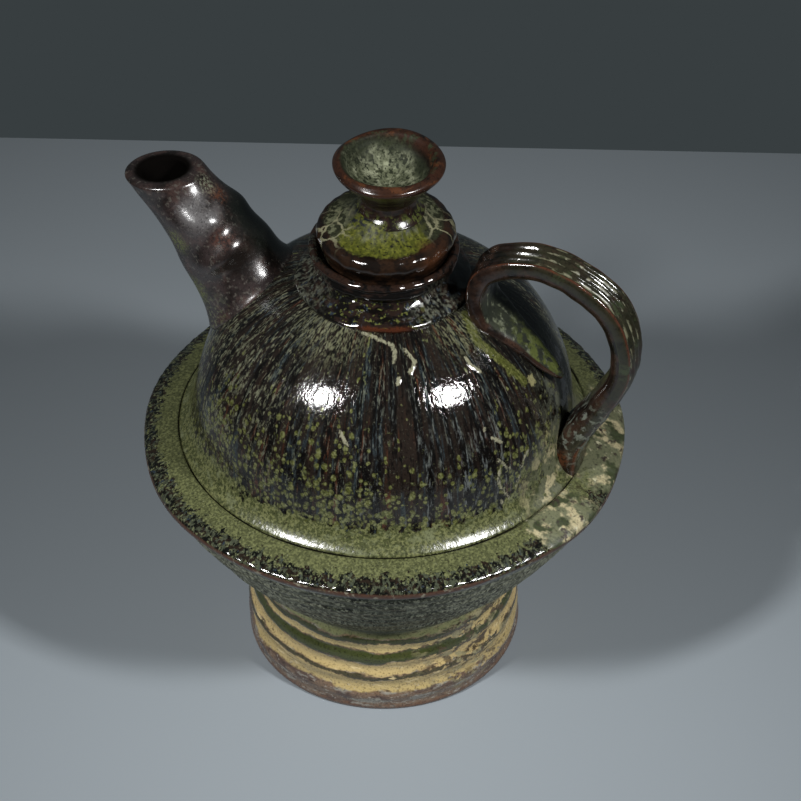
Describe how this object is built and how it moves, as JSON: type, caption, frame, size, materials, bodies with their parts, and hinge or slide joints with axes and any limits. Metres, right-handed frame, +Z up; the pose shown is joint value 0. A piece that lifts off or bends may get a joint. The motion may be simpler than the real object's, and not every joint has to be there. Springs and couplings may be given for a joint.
{
  "type": "teapot",
  "caption": "Wide stoneware teapot on a hollow foot, with a sharp brim, domed top, fat spout, strap handle and lift-off lid.",
  "frame": {"origin": "centre of the foot on the table, on the pot's axis", "axes": "+Z up the pot's axis, spout towards -X, handle towards +X"},
  "size_m": [0.1607, 0.15, 0.1844],
  "materials": {
    "ochre_glaze": "glossy ochre glaze pooled between throwing rolls",
    "olive_dark_glaze": "glossy dark glaze with an olive band",
    "dark_iron_glaze": "glossy dark iron glaze with olive speckles and fine runs",
    "metallic_brown_glaze": "glossy purple-brown glaze",
    "rust_brown_glaze": "glossy brown glaze that breaks to rust on the edges",
    "olive_glaze": "glossy olive glaze with a dark roll",
    "bare_stoneware": "unglazed stoneware"
  },
  "bodies": {
    "pot": {"foot_ring": "ochre_glaze", "lower_bowl": "olive_dark_glaze", "dome_shell": "dark_iron_glaze", "neck_collar": "dark_iron_glaze", "spout": "metallic_brown_glaze", "handle_strap": "rust_brown_glaze"},
    "lid": {"lid_disc": "olive_glaze", "lid_spigot": "bare_stoneware", "lid_knob": "rust_brown_glaze"}
  },
  "joints": [
    {"name": "lid_lift", "type": "slide", "parent": "pot", "child": "lid", "axis": [0, 0, 1], "range_m": [0, 0.06]}
  ]
}
